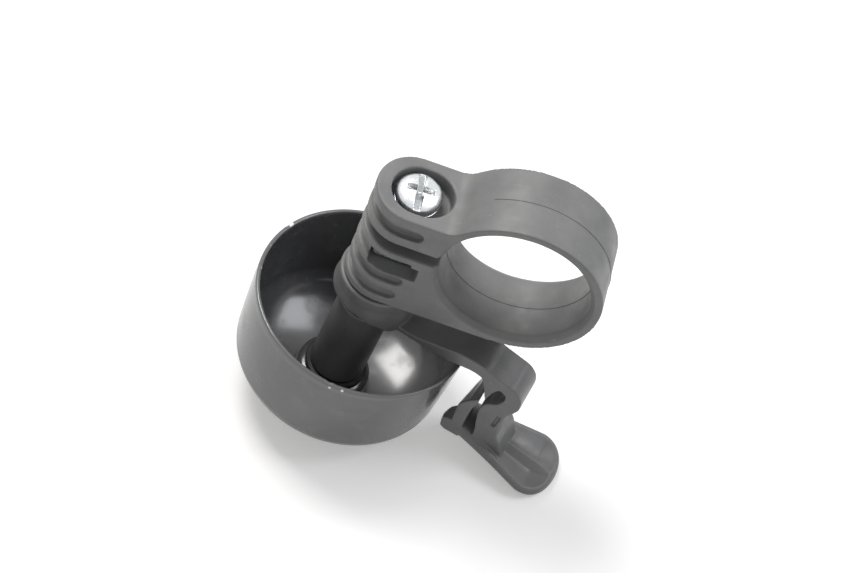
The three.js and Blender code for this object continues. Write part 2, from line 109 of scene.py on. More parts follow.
def turn_outward(mesh: bpy.types.Mesh) -> None:
    """Recalculates a closed mesh's normals so that they point outward."""
    work = bmesh.new()
    work.from_mesh(mesh)
    bmesh.ops.remove_doubles(work, verts=work.verts, dist=1e-5)
    bmesh.ops.recalc_face_normals(work, faces=work.faces)
    if work.calc_volume(signed=True) < 0:
        bmesh.ops.reverse_faces(work, faces=work.faces)
    work.to_mesh(mesh)
    work.free()


def arc(centre: Point2, radius: float, start: float, end: float, steps: int) -> list[Point2]:
    """Points along a circle's arc, with the angles in degrees."""
    angles = [math.radians(start + (end - start) * i / steps) for i in range(steps + 1)]
    return [(centre[0] + radius * math.cos(a), centre[1] + radius * math.sin(a)) for a in angles]


def smooth_line(points: Sequence[Point2], steps: int = 6) -> list[Point2]:
    """Draws a smooth closed line through the points.

    Args:
        points: the points to go through; a point given twice in a row stays a corner.
        steps: how many short lines stand for each stretch.

    Returns:
        The points of the finer line.
    """
    p = np.array(points, float)
    n = len(p)
    out: list[Point2] = []
    for i in range(n):
        a, b, c, d = p[i - 1], p[i], p[(i + 1) % n], p[(i + 2) % n]
        if np.allclose(b, c):
            continue
        for k in range(steps):
            t = k / steps
            q = 0.5 * (2 * b + (c - a) * t + (2 * a - 5 * b + 4 * c - d) * t**2 + (3 * b - a - 3 * c + d) * t**3)
            out.append((float(q[0]), float(q[1])))
    return out


def prism(outline: Sequence[Point2], low: float, high: float, axis: Axis) -> bpy.types.Mesh:
    """Draws an outline out into a solid.

    Args:
        outline: (x, z) points for Axis.Y, or (x, y) points for Axis.Z.
        low: where the solid starts along the axis.
        high: where it ends.
        axis: the direction of drawing out.

    Returns:
        A closed mesh.
    """
    n = len(outline)
    place = (lambda p, h: (p[0], h, p[1])) if axis is Axis.Y else (lambda p, h: (p[0], p[1], h))
    vertices = [place(p, low) for p in outline] + [place(p, high) for p in outline]
    faces = [tuple(range(n)), tuple(range(2 * n - 1, n - 1, -1))]
    faces += [(i, (i + 1) % n, n + (i + 1) % n, n + i) for i in range(n)]
    return new_mesh("prism", vertices, faces)


def block(low: Sequence[float], high: Sequence[float]) -> bpy.types.Mesh:
    """A rectangular cutter between two corners."""
    return prism([(low[0], low[2]), (high[0], low[2]), (high[0], high[2]), (low[0], high[2])], low[1], high[1], Axis.Y)


def turned(profile: Sequence[Point2], x: float, segments: int = 96) -> bpy.types.Mesh:
    """Turns a (radius, z) line about the vertical axis through (x, 0).

    Args:
        profile: an open line that starts and ends on the axis, or a closed ring when it doesn't.
        x: where the axis stands.
        segments: how many steps there are round the axis.

    Returns:
        A closed mesh.
    """
    n = len(profile)
    vertices, faces = [], []
    for k in range(segments):
        a = 2 * math.pi * k / segments
        vertices += [(x + r * math.cos(a), r * math.sin(a), z) for r, z in profile]
    ring = profile[0][0] > 1e-6
    for k in range(segments):
        m = (k + 1) % segments
        for i in range(n if ring else n - 1):
            j = (i + 1) % n
            faces.append((k * n + i, m * n + i, m * n + j, k * n + j))
    return new_mesh("turned", vertices, faces)


def moved(mesh: bpy.types.Mesh, matrix: Matrix) -> bpy.types.Mesh:
    """Moves a mesh's points and returns the same mesh."""
    mesh.transform(matrix)
    return mesh


def leaning() -> Matrix:
    """The lean of the dome and all it is fixed with, about the post's shoulder."""
    pivot = Matrix.Translation((POST_X, 0, SHOULDER_Z))
    turn = Matrix.Rotation(DOME_LEAN[1], 4, "Y") @ Matrix.Rotation(DOME_LEAN[0], 4, "X")
    return pivot @ turn @ pivot.inverted()


def lever_place() -> Matrix:
    """Where the lever's own frame stands in the bell's frame."""
    return Matrix.Translation((POST_X, 0, 0)) @ Matrix.Rotation(LEVER_ANGLE, 4, "Z")


class Workpiece:
    """A solid in millimetres that is joined, cut and rounded, then scaled to metres."""

    def __init__(self, mesh: bpy.types.Mesh, *others: bpy.types.Mesh) -> None:
        """Starts from one mesh, or from several that lie in one another."""
        self.body = bpy.data.objects.new("work", mesh)
        bpy.context.scene.collection.objects.link(self.body)
        for other in others:
            self.combine([other], "UNION")

    def _settle(self) -> None:
        """Turns the evaluated result into the piece's own plain mesh."""
        bpy.context.view_layer.update()
        seen = self.body.evaluated_get(bpy.context.evaluated_depsgraph_get())
        mesh = bpy.data.meshes.new_from_object(seen)
        self.body.modifiers.clear()
        self.body.data = mesh

    def combine(self, meshes: Sequence[bpy.types.Mesh], operation: str) -> "Workpiece":
        """Joins, cuts or keeps what is shared with other solids.

        Args:
            meshes: the other solids.
            operation: UNION, DIFFERENCE or INTERSECT.

        Returns:
            The same workpiece.
        """
        for mesh in meshes:
            tool = bpy.data.objects.new("tool", mesh)
            bpy.context.scene.collection.objects.link(tool)
            cut = self.body.modifiers.new("cut", "BOOLEAN")
            cut.operation, cut.solver, cut.object = operation, "EXACT", tool
            self._settle()
            bpy.data.objects.remove(tool)
        return self

    def cut(self, *meshes: bpy.types.Mesh) -> "Workpiece":
        """Cuts other solids out of this one."""
        return self.combine(meshes, "DIFFERENCE")

    def keep(self, mesh: bpy.types.Mesh) -> "Workpiece":
        """Keeps only what lies inside another solid."""
        return self.combine([mesh], "INTERSECT")

    def soften(self, voxel: float, passes: int) -> "Workpiece":
        """Rounds every edge, as a mould does.

        Args:
            voxel: the size of the new faces, in millimetres.
            passes: how many times the surface is evened out.

        Returns:
            The same workpiece.
        """
        fuse = self.body.modifiers.new("fuse", "REMESH")
        fuse.mode, fuse.voxel_size = "VOXEL", voxel
        even = self.body.modifiers.new("even", "SMOOTH")
        even.factor, even.iterations = 0.5, passes
        self._settle()
        return self

    def take(self) -> bpy.types.Mesh:
        """Gives up the workpiece's mesh and removes its object."""
        mesh = self.body.data
        bpy.data.objects.remove(self.body)
        return mesh

    def finish(self, name: str, material: bpy.types.Material, smooth: bool = True) -> bpy.types.Object:
        """Scales the piece to metres, names it and dresses it.

        Args:
            name: the finished piece's name.
            material: its finish.
            smooth: whether its faces are shaded smooth.

        Returns:
            The finished object, at the origin.
        """
        self.body.data.transform(Matrix.Scale(MM, 4))
        self.body.name = name
        self.body.data.name = name
        self.body.data.materials.clear()
        self.body.data.materials.append(material)
        for face in self.body.data.polygons:
            face.use_smooth = smooth
            face.material_index = 0
        log.info("%s: %d faces", name, len(self.body.data.polygons))
        return self.body


# ---------------------------------------------------------------- Geometry Nodes


class Tree:
    """A Geometry Nodes tree with named inputs, built step by step."""

    def __init__(self, name: str, inputs: dict[str, float]) -> None:
        """Makes the tree's sockets; every input is a plain number."""
        self.group = bpy.data.node_groups.new(name, "GeometryNodeTree")
        self.group.interface.new_socket("Geometry", in_out="INPUT", socket_type="NodeSocketGeometry")
        self.ids: dict[str, str] = {}
        for label, value in inputs.items():
            socket = self.group.interface.new_socket(label, in_out="INPUT", socket_type="NodeSocketFloat")
            socket.default_value = value
            self.ids[label] = socket.identifier
        self.group.interface.new_socket("Geometry", in_out="OUTPUT", socket_type="NodeSocketGeometry")
        self.start = self.group.nodes.new("NodeGroupInput")
        self.end = self.group.nodes.new("NodeGroupOutput")

    def node(self, kind: str, **links: object) -> bpy.types.Node:
        """Adds a node and links or sets its inputs by name."""
        made = self.group.nodes.new(kind)
        for label, value in links.items():
            socket = made.inputs[label.replace("_", " ")]
            if isinstance(value, bpy.types.NodeSocket):
                self.group.links.new(value, socket)
            else:
                socket.default_value = value
        return made

    def math(self, operation: str, *values: object) -> bpy.types.NodeSocket:
        """Adds a Math node and returns its result."""
        made = self.group.nodes.new("ShaderNodeMath")
        made.operation = operation
        for socket, value in zip(made.inputs, values):
            if isinstance(value, bpy.types.NodeSocket):
                self.group.links.new(value, socket)
            else:
                socket.default_value = value
        return made.outputs[0]

    def close(self, geometry: bpy.types.NodeSocket, material: bpy.types.Material) -> None:
        """Ends the tree in Realize Instances and Set Material."""
        real = self.node("GeometryNodeRealizeInstances", Geometry=geometry)
        dressed = self.node("GeometryNodeSetMaterial", Geometry=real.outputs[0], Material=material)
        self.group.links.new(dressed.outputs[0], self.end.inputs[0])

    def run(self, name: str, sizes: dict[str, float], base: bpy.types.Mesh | None = None) -> bpy.types.Mesh:
        """Runs the tree once and returns its result as a plain mesh.

        Args:
            name: the new mesh's name.
            sizes: values for the tree's named inputs.
            base: what the tree starts from.

        Returns:
            The plain mesh.
        """
        carrier = bpy.data.objects.new(name, base or bpy.data.meshes.new(name))
        modifier = carrier.modifiers.new("nodes", "NODES")
        modifier.node_group = self.group
        for label, value in sizes.items():
            modifier[self.ids[label]] = value
        bpy.context.scene.collection.objects.link(carrier)
        bpy.context.view_layer.update()
        seen = carrier.evaluated_get(bpy.context.evaluated_depsgraph_get())
        mesh = bpy.data.meshes.new_from_object(seen)
        bpy.data.objects.remove(carrier)
        return mesh


def thread_tree(material: bpy.types.Material) -> Tree:
    """A screw's shank: a tube whose radius rises and falls along a helix."""
    tree = Tree("screw_thread", {"Radius": 1.8, "Depth": 0.3, "Pitch": 0.7, "Length": 12.0, "Foot": 0.0})
    size = {label: tree.start.outputs[label] for label in tree.ids}
    grid = tree.node("GeometryNodeMeshGrid", Size_X=1.0, Size_Y=1.0, Vertices_X=49, Vertices_Y=240)
    where = tree.node("ShaderNodeSeparateXYZ", Vector=tree.node("GeometryNodeInputPosition").outputs[0])
    angle = tree.math("MULTIPLY", tree.math("ADD", where.outputs[0], 0.5), 2 * math.pi)
    up = tree.math("MULTIPLY", tree.math("ADD", where.outputs[1], 0.5), size["Length"])
    turns = tree.math("SUBTRACT", tree.math("DIVIDE", up, size["Pitch"]), tree.math("DIVIDE", angle, 2 * math.pi))
    wave = tree.math("PINGPONG", turns, 0.5)
    radius = tree.math("ADD", size["Radius"], tree.math("MULTIPLY", tree.math("SUBTRACT", wave, 0.5), size["Depth"]))
    point = tree.node(
        "ShaderNodeCombineXYZ",
        X=tree.math("MULTIPLY", radius, tree.math("COSINE", angle)),
        Y=tree.math("MULTIPLY", radius, tree.math("SINE", angle)),
        Z=tree.math("ADD", up, size["Foot"]),
    )
    tube = tree.node("GeometryNodeSetPosition", Geometry=grid.outputs[0], Position=point.outputs[0])
    seam = tree.node("GeometryNodeMergeByDistance", Geometry=tube.outputs[0], Distance=1e-4)
    tree.close(seam.outputs[0], material)
    return tree


def flash_tree(material: bpy.types.Material) -> Tree:
    """The mould's fine parting line: a small ridge swept along an arc of the band."""
    tree = Tree("parting_line", {"Radius": 13.0, "Start": -2.6, "Sweep": 5.2, "Ridge": 0.09})
    size = {label: tree.start.outputs[label] for label in tree.ids}
    path = tree.node("GeometryNodeCurveArc", Resolution=160, Radius=size["Radius"],
                     Start_Angle=size["Start"], Sweep_Angle=size["Sweep"])
    ring = tree.node("GeometryNodeCurvePrimitiveCircle", Resolution=8, Radius=size["Ridge"])
    swept = tree.node("GeometryNodeCurveToMesh", Curve=path.outputs[0], Profile_Curve=ring.outputs[0], Fill_Caps=True)
    tree.close(swept.outputs[0], material)
    return tree


# ---------------------------------------------------------------- finishes


class Nodes:
    """A short way to write a material's nodes."""

    def __init__(self, name: str) -> None:
        """Makes an empty material with one Principled shader."""
        self.material = bpy.data.materials.new(name)
        self.material.use_nodes = True
        self.tree = self.material.node_tree
        self.shader = self.tree.nodes["Principled BSDF"]
        self.place = self.tree.nodes.new("ShaderNodeTexCoord").outputs["Object"]

    def add(self, kind: str, **values: object) -> bpy.types.Node:
        """Adds a node and sets or links its inputs by name."""
        made = self.tree.nodes.new(kind)
        for label, value in values.items():
            socket = made.inputs[label.replace("_", " ")]
            if isinstance(value, bpy.types.NodeSocket):
                self.tree.links.new(value, socket)
            else:
                socket.default_value = value
        return made

    def noise(self, scale: float, detail: float = 3.0, stretch: Sequence[float] = (1, 1, 1)) -> bpy.types.NodeSocket:
        """A noise pattern on object coordinates.

        Args:
            scale: how many bumps there are to the metre.
            detail: how many finer layers it has.
            stretch: how much it is scaled along each axis.

        Returns:
            The pattern's value.
        """
        mapped = self.add("ShaderNodeMapping", Vector=self.place, Scale=tuple(stretch))
        return self.add("ShaderNodeTexNoise", Vector=mapped.outputs[0], Scale=scale, Detail=detail).outputs[0]

    def ramp(self, value: bpy.types.NodeSocket, low: float, high: float, out: Point2 = (0, 1)) -> bpy.types.NodeSocket:
        """Maps a value from one range to another, smoothly."""
        node = self.add("ShaderNodeMapRange", Value=value, From_Min=low, From_Max=high, To_Min=out[0], To_Max=out[1])
        node.interpolation_type = "SMOOTHSTEP"
        return node.outputs[0]

    def mix(self, factor: object, first: object, second: object) -> bpy.types.NodeSocket:
        """Mixes two colours."""
        node = self.tree.nodes.new("ShaderNodeMix")
        node.data_type = "RGBA"
        for socket, value in zip((node.inputs[0], node.inputs[6], node.inputs[7]), (factor, first, second)):
            if isinstance(value, bpy.types.NodeSocket):
                self.tree.links.new(value, socket)
            else:
                socket.default_value = value
        return node.outputs[2]

    def math(self, operation: str, *values: object) -> bpy.types.NodeSocket:
        """Adds a Math node and returns its result."""
        node = self.tree.nodes.new("ShaderNodeMath")
        node.operation = operation
        for socket, value in zip(node.inputs, values):
            if isinstance(value, bpy.types.NodeSocket):
                self.tree.links.new(value, socket)
            else:
                socket.default_value = value
        return node.outputs[0]

    def set(self, **values: object) -> None:
        """Sets or links the shader's own inputs."""
        for label, value in values.items():
            socket = self.shader.inputs[label.replace("_", " ")]
            if isinstance(value, bpy.types.NodeSocket):
                self.tree.links.new(value, socket)
            else:
                socket.default_value = value

    def bump(self, height: bpy.types.NodeSocket, distance: float, strength: float = 1.0) -> None:
        """Gives the shader a fine relief of the given depth in metres."""
        node = self.add("ShaderNodeBump", Height=height, Distance=distance, Strength=strength)
        self.set(Normal=node.outputs[0])


def grey(level: float, warm: float = 0.0) -> tuple[float, float, float, float]:
    """A grey colour, a little warmer or cooler."""
    return (level * (1 + warm), level, level * (1 - warm), 1.0)


@dataclass(frozen=True)
class MouldedPlastic:
    """Moulded plastic with a fine spark-eroded grain, cloudy tone and light scuffs."""

    name: str
    tone: float
    roughness: float
    grain: float = 3200.0
    depth: float = 0.00002
    scuffs: float = 0.25

    def make(self) -> bpy.types.Material:
        """Builds the material."""
        n = Nodes(self.name)
        cloud = n.noise(160.0, 4.0)
        base = n.mix(n.ramp(cloud, 0.3, 0.7), grey(self.tone * 0.88, -0.01), grey(self.tone * 1.1, 0.01))
        flecks = n.ramp(n.noise(2600.0, 2.0), 0.62, 0.75, (0, 0.25))
        base = n.mix(flecks, base, grey(self.tone * 1.6))
        lines = n.ramp(n.noise(300.0, 6.0, (1.0, 9.0, 2.0)), 0.66, 0.74, (0, self.scuffs))
        base = n.mix(lines, base, grey(self.tone * 1.9, 0.01))
        rough = n.ramp(n.noise(420.0, 5.0), 0.3, 0.7, (self.roughness - 0.08, self.roughness + 0.1))
        n.set(Base_Color=base, Roughness=rough)
        n.set(IOR=1.48)
        n.bump(n.noise(self.grain, 4.0), self.depth, 0.6)
        return n.material


@dataclass(frozen=True)
class GlossPaint:
    """Gloss black paint on steel, chipped to bare metal at the rim and lightly scratched."""

    name: str
    rim_z: float
    chips: tuple[tuple[float, float, float, float], ...] = ()

    def make(self) -> bpy.types.Material:
        """Builds the material."""
        n = Nodes(self.name)
        axis = n.add("ShaderNodeSeparateXYZ", Vector=n.place)
        rim = n.ramp(axis.outputs[2], self.rim_z - 0.0007, self.rim_z + 0.0002)
        worn = n.ramp(axis.outputs[2], self.rim_z - 0.0009, self.rim_z - 0.0003)
        bare = n.math("MULTIPLY", rim, n.ramp(n.noise(700.0, 6.0), 0.66, 0.72))
        for x, y, z, size in self.chips:
            away = n.add("ShaderNodeVectorMath", Vector=n.place)
            away.operation = "DISTANCE"
            away.inputs[1].default_value = (x, y, z)
            ragged = n.math("ADD", away.outputs["Value"], n.math("MULTIPLY", n.noise(1500.0, 4.0), size * 0.8))
            spot = n.ramp(ragged, size * 1.25, size * 1.05)
            bare = n.math("MAXIMUM", bare, spot)
        dust = n.ramp(n.noise(240.0, 6.0), 0.45, 0.75)
        scratch = n.ramp(n.noise(260.0, 8.0, (14.0, 14.0, 1.0)), 0.67, 0.73)
        paint = n.mix(dust, (0.1, 0.101, 0.106, 1), (0.128, 0.129, 0.133, 1))
        paint = n.mix(n.math("MULTIPLY", scratch, 0.3), paint, grey(0.18))
        paint = n.mix(n.math("MULTIPLY", worn, 0.35), paint, grey(0.2))
        n.set(Base_Color=n.mix(bare, paint, grey(0.5, 0.02)), Metallic=bare)
        rough = n.math("ADD", n.ramp(dust, 0, 1, (0.17, 0.3)), n.math("MULTIPLY", bare, 0.25))
        n.set(Roughness=rough)
        n.set(IOR=1.62)
        relief = n.math("SUBTRACT", n.math("MULTIPLY", n.noise(700.0, 3.0), 0.12), bare)
        n.bump(relief, 0.00004, 0.5)
        return n.material


@dataclass(frozen=True)
class ZincPlate:
    """Bright zinc plate with faint turning marks, a slight tint, a little dirt and, where a recess is given, painted
    shade in that recess.
    """

    name: str
    tone: float = 0.74
    recess: tuple[float, float, float] | None = None

    def make(self) -> bpy.types.Material:
        """Builds the material."""
        n = Nodes(self.name)
        tint = n.mix(n.ramp(n.noise(380.0, 4.0), 0.35, 0.65), (self.tone * 0.96, self.tone, self.tone * 1.05, 1),
                     (self.tone * 0.93, self.tone * 0.95, self.tone * 0.96, 1))
        dirt = n.ramp(n.noise(900.0, 6.0), 0.6, 0.75, (0, 0.5))
        colour = n.mix(dirt, tint, grey(0.3, 0.04))
        # painted shade: the colour is darkened inside the screw head's recess, more so deeper down and nearer the axis
        if self.recess:
            axis = n.add("ShaderNodeSeparateXYZ", Vector=n.place)
            along = n.math("SUBTRACT", axis.outputs[0], self.recess[0])
            reach = n.math("SQRT", n.math("ADD", n.math("POWER", along, 2.0), n.math("POWER", axis.outputs[1], 2.0)))
            low = n.ramp(axis.outputs[2], self.recess[2], self.recess[1])
            shade = n.math("MULTIPLY", low, n.ramp(reach, 0.0034, 0.0029))
            colour = n.mix(n.math("MULTIPLY", shade, 0.55), colour, grey(0.12))
        n.set(Base_Color=colour)
        n.set(Metallic=1.0)
        n.set(Roughness=n.ramp(n.noise(1500.0, 5.0), 0.3, 0.7, (0.2, 0.38)))
        n.bump(n.noise(2500.0, 4.0, (1, 1, 6)), 0.00001, 0.5)
        return n.material


@dataclass(frozen=True)
class Paper:
    """The pale surface that the bell lies on; seen from below it isn't there."""

    name: str = "pale_floor"

    def make(self) -> bpy.types.Material:
        """Builds the material."""
        n = Nodes(self.name)
        n.set(Base_Color=n.mix(n.noise(60.0, 3.0), grey(0.86, 0.004), grey(0.9, 0.004)))
        n.set(Roughness=0.9)
        links, nodes = n.tree.links, n.tree.nodes
        glow = n.add("ShaderNodeEmission", Color=(1, 0.995, 0.985, 1), Strength=0.31)
        both = nodes.new("ShaderNodeAddShader")
        links.new(n.shader.outputs[0], both.inputs[0])
        links.new(glow.outputs[0], both.inputs[1])
        seen = nodes.new("ShaderNodeMixShader")
        path = nodes.new("ShaderNodeLightPath")
        direct = n.math("MAXIMUM", path.outputs["Is Camera Ray"], path.outputs["Is Glossy Ray"])
        links.new(direct, seen.inputs[0])
        links.new(n.shader.outputs[0], seen.inputs[1])
        links.new(both.outputs[0], seen.inputs[2])
        hidden = nodes.new("ShaderNodeMixShader")
        links.new(nodes.new("ShaderNodeNewGeometry").outputs["Backfacing"], hidden.inputs[0])
        links.new(seen.outputs[0], hidden.inputs[1])
        links.new(nodes.new("ShaderNodeBsdfTransparent").outputs[0], hidden.inputs[2])
        links.new(hidden.outputs[0], nodes["Material Output"].inputs["Surface"])
        return n.material


# ---------------------------------------------------------------- sub-assemblies


@dataclass
class ClampBracket:
    """The bracket and its clamp band, one flexible moulding."""

    bore: float = 11.1
    wall: float = 1.9
    half_width: float = 5.9
    ear_top: float = 7.1
    neck: float = 3.0
    split: float = 2.2
    groove_height: float = 2.1
    spigot_radius: float = 3.6
    spigot_length: float = 7.3
    grooves: tuple[tuple[float, float, float], ...] = (
        (4.0, -14.6, 1.0), (-3.5, -19.5, 0.7), (-7.15, -15.0, 1.0), (-10.6, -15.2, 1.0),
    )

    def plan(self, inset: float) -> list[Point2]:
        """The outline from above, round at the post's end."""
        radius = self.half_width - inset
        left = [(POST_X + (x - POST_X) * 0.97, y) for x, y in arc((POST_X, 0), radius, 90, 270, 48)]
        return [(0, -radius), (0, radius), *left]

    def blank(self) -> Workpiece:
        """The moulding before anything is cut into it."""
        band = self.bore + self.wall
        reach, rise = band + self.neck, self.ear_top + self.neck
        neck_x = -math.sqrt(reach**2 - rise**2)
        end = math.degrees(math.atan2(-rise, -neck_x))
        neck_fill = [(0, 0), *arc((neck_x, rise), self.neck, end, -90, 20), (neck_x - 2, self.ear_top), (neck_x - 2, 0)]
        post = prism(self.plan(0), SHOULDER_Z, self.ear_top, Axis.Z)
        web = prism([(-1, 0), (-8, 0), (-8, SHOULDER_Z + 0.05), (-1, -12.95)], -self.half_width, self.half_width, Axis.Y)
        ring = prism(arc((0, 0), band, 0, 359, 240), -self.half_width, self.half_width, Axis.Y)
        fill = prism(neck_fill, -self.half_width, self.half_width, Axis.Y)
        foot = SHOULDER_Z - self.spigot_length
        spigot = prism(arc((POST_X, 0), self.spigot_radius, 0, 354, 59), foot, SHOULDER_Z + 1, Axis.Z)
        return Workpiece(ring, post, web, fill, moved(spigot, leaning()))

    def groove(self, z: float, end: float, depth: float) -> bpy.types.Mesh:
        """The cutter of one grip groove that wraps round the post."""
        half = self.groove_height / 2
        outline = [(POST_X - 9, z - half), *arc((end - half, z), half, -90, 90, 12), (POST_X - 9, z + half)]
        slot = prism(outline, -9, 9, Axis.Y)
        core = prism(self.plan(depth), z - 3, z + 3, Axis.Z)
        return Workpiece(slot).cut(core).take()

    def build(self, plastic: bpy.types.Material) -> bpy.types.Object:
        """Makes the moulding, split where the strap closes.

        Args:
            plastic: the moulding's finish.

        Returns:
            The finished piece.
        """
        work = self.blank()
        bore = prism(arc((0, 0), self.bore, 0, 359, 240), -9, 9, Axis.Y)
        cone = turned([(0.0, 5.0), (self.bore - 0.05, 5.0), (self.bore + 0.8, 5.95), (self.bore + 0.8, 8), (0.0, 8)], 0, 160)
        near = moved(cone.copy(), Matrix.Rotation(math.radians(90), 4, "X"))
        far = moved(cone, Matrix.Rotation(math.radians(-90), 4, "X"))
        gap = block((-30, -9, -self.split / 2), (-9, 9, self.split / 2))
        work.cut(bore, near, far, gap)
        for z, end, depth in self.grooves:
            work.cut(self.groove(z, end, depth))
        work.cut(block((CLAMP_X - 3.7, -9, -5.85), (CLAMP_X + 3.8, 3.6, -3.05)))
        work.cut(block((CLAMP_X - 3.8, -9, -3.35), (CLAMP_X + 2.5, -2.5, -2.45)))
        pocket = arc((CLAMP_X, 0), 4.15, 90, 270, 40) + arc((CLAMP_X + 1.0, 0), 4.15, -90, 90, 40)
        work.cut(prism(pocket, 4.4, 9, Axis.Z))
        work.cut(prism(arc((CLAMP_X, 0), 2.35, 0, 350, 36), -10, 6, Axis.Z))
        work.soften(0.21, 2)
        lines = flash_tree(plastic)
        joined = bmesh.new()
        joined.from_mesh(work.body.data)
        outside = (self.bore + self.wall, -1.6, 3.75)
        inside = (self.bore, 0.15 + math.pi, 2 * math.pi - 0.3)
        for radius, start, sweep in (outside, inside):
            ridge = lines.run("line", {"Radius": radius, "Start": start, "Sweep": sweep, "Ridge": 0.1})
            joined.from_mesh(moved(ridge, Matrix.Rotation(math.radians(90), 4, "X")))
        joined.to_mesh(work.body.data)
        joined.free()
        piece = work.finish("clamp_bracket_moulding", plastic)
        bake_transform(piece)
        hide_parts("bracket", "clamp_strap")
        return piece


@dataclass
class StrikerLever:
    """Hub, arm, spring hook, hammer and thumb paddle in one springy moulding."""

    half: float = 2.95
    paddle_end: float = 36.9
    widest_s: float = 32.5
    paddle_half: float = 5.7
    skew: float = 0.95
    strip: tuple[Point2, ...] = (
        (2, -20.4), (2, -20.4), (2, -18.6), (2, -18.6), (6, -19.6), (9, -19.75), (11.2, -19.2), (13.6, -18.7),
        (15.8, -18.1), (17.9, -18.0), (19.9, -18.1), (21.3, -18.5), (22.8, -18.85), (24.3, -19.2), (25.5, -19.5),
        (26.35, -20.1), (27.0, -20.95), (27.35, -22.0), (27.4, -23.3), (27.0, -24.5), (26.4, -25.7), (25.95, -27.2),
        (25.8, -29.6), (26.1, -31.8), (27.2, -33.6), (28.2, -36.2), (28.2, -36.2), (22.8, -36.4), (22.8, -36.4),
        (22.8, -33.4), (22.4, -31.0), (22.05, -28.6), (22.2, -26.9), (22.75, -25.75), (23.6, -25.1), (24.2, -24.5),
        (24.65, -23.5), (24.85, -22.5), (24.5, -21.7), (23.6, -21.35), (22.9, -22.4), (22.5, -23.9), (22.2, -24.8),
        (21.9, -24.4), (21.3, -22.6), (20.5, -20.9), (19.9, -20.5), (18.4, -20.35), (16, -20.75), (14.5, -21.1),
        (12, -21.0), (8, -20.75), (5, -20.5),
    )

    def paddle_half_width(self, s: float) -> float:
        """Half the paddle's width at a distance s from the post."""
        start = 20.0
        if s <= start:
            return self.half
        if s <= self.widest_s:
            t = (s - start) / (self.widest_s - start)
            ease = 0.62 * t + 0.38 * t * t * (3 - 2 * t)
            return self.half + (self.paddle_half - self.half) * ease * (1 - 0.10 * math.sin(math.pi * t))
        t = (s - self.widest_s) / (self.paddle_end - self.widest_s)
        return self.paddle_half * math.sqrt(max(0.0, 1 - t**2.3))

    def paddle(self) -> bpy.types.Mesh:
        """The bar and the paddle, with two hollows beside a sharp ridge."""
        shaft = np.linspace(19.6, self.widest_s, 110)
        tip = self.widest_s + (self.paddle_end - self.widest_s) * np.sin(np.linspace(0.02, 1, 60) * math.pi / 2)
        stations = np.concatenate([shaft, tip])
        around = 160
        vertices, faces = [], []
        for s in stations:
            width = max(self.paddle_half_width(float(s)), 0.05)
            middle = -34.95 - (s - 18) / 6
            thick = np.interp(s, [19.6, 24, 28, 37], [1.45, 1.25, 0.95, 0.9])
            end_round = math.sqrt(max(0.0, 1 - max(0.0, (s - 35.9) / 1.0) ** 2)) if s > 35.9 else 1.0
            thick = thick * max(end_round, 0.25)
            sink = np.interp(s, [24.6, 28.0, 33.2, 36.0], [0, 0.85, 0.95, 0])
            for k in range(around):
                a = 2 * math.pi * k / around
                c, d = math.cos(a), math.sin(a)
                w = width * math.copysign(abs(c) ** 0.45, c)
                z = middle + thick * math.copysign(abs(d) ** 0.6, d)
                if d > 0:
                    inner = max(width - 0.8, 0.5)
                    u = min(abs(w) / inner, 1.0)
                    z -= sink * math.sin(math.pi * u**0.65) ** 0.8 if u < 1 else 0.0
                vertices.append((s, w, z))
        n = len(stations)
        for i in range(n - 1):
            for k in range(around):
                m = (k + 1) % around
                faces.append((i * around + k, i * around + m, (i + 1) * around + m, (i + 1) * around + k))
        faces.append(tuple(range(around)))
        faces.append(tuple(range((n - 1) * around, n * around)))
        return new_mesh("paddle", vertices, faces)

    def hammer(self) -> Workpiece:
        """The hammer's wall, with the striking nose on its near half."""
        wall = prism(
            [(19.0, -36.8), (20.9, -36.8), (20.95, -31), (21.1, -28.6), (21.5, -26.9), (21.45, -25.9), (21.1, -26.1),
             (20.1, -27.2), (19.2, -28.6), (18.9, -29.3)], -self.half, self.half, Axis.Y)
        plan = [(20.9, -2.95), (20.9, 0.5), (19.1, 0.5), *arc((19.3, -1.6), 2.0, 110, 225, 16), (18.2, -2.95)]
        nose = Workpiece(prism(plan, -36.8, -33.7, Axis.Z))
        nose.keep(prism([(20.9, -33.7), (18.5, -33.75), (17.7, -34.0), (17.3, -34.7), (17.3, -35.6), (17.7, -36.3),
                         (18.5, -36.8), (20.9, -36.8)], -9, 9, Axis.Y))
        work = Workpiece(wall, nose.take())
        for vertex in work.body.data.vertices:
            near = min(max((20.9 - vertex.co.x) / 1.9, 0.0), 1.0)
            vertex.co.x += self.skew * near * (vertex.co.y + self.half) / (2 * self.half)
        return work

    def hub(self) -> Workpiece:
        """The flared hub round the post, deeper toward the arm."""
        flare = turned([(4.3, -13.4), (6.05, -13.4), (6.2, -13.6), (6.25, -15.5), (6.5, -17.0), (6.62, -20.3), (4.3, -20.3)], 0, 120)
        slant = prism([(-8, -17.3), (0, -17.45), (3.2, -18.7), (5.2, -20.2), (8, -21), (8, -13), (-8, -13)], -9, 9, Axis.Y)
        return Workpiece(flare).keep(slant)

    def build(self, plastic: bpy.types.Material) -> bpy.types.Object:
        """Makes the lever.

        Args:
            plastic: the moulding's finish.

        Returns:
            The finished piece.
        """
        strip = Workpiece(prism(smooth_line(self.strip, 7), -self.half, self.half, Axis.Y))
        strip.cut(prism(arc((0, 0), 4.3, 0, 350, 48), -30, -5, Axis.Z))
        slit = prism([(24.7, -30.2), (25.3, -30.1), (25.6, -27.1), (25.0, -27.0)], -4, -2.5, Axis.Y)
        strip.cut(slit)
        work = Workpiece(strip.take(), self.hub().take(), self.paddle(), self.hammer().take())
        work.soften(0.15, 1)
        work.body.data.transform(lever_place())
        piece = work.finish("striker_lever_moulding", plastic)
        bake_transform(piece)
        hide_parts("lever_arm", "hammer_lever")
        return piece


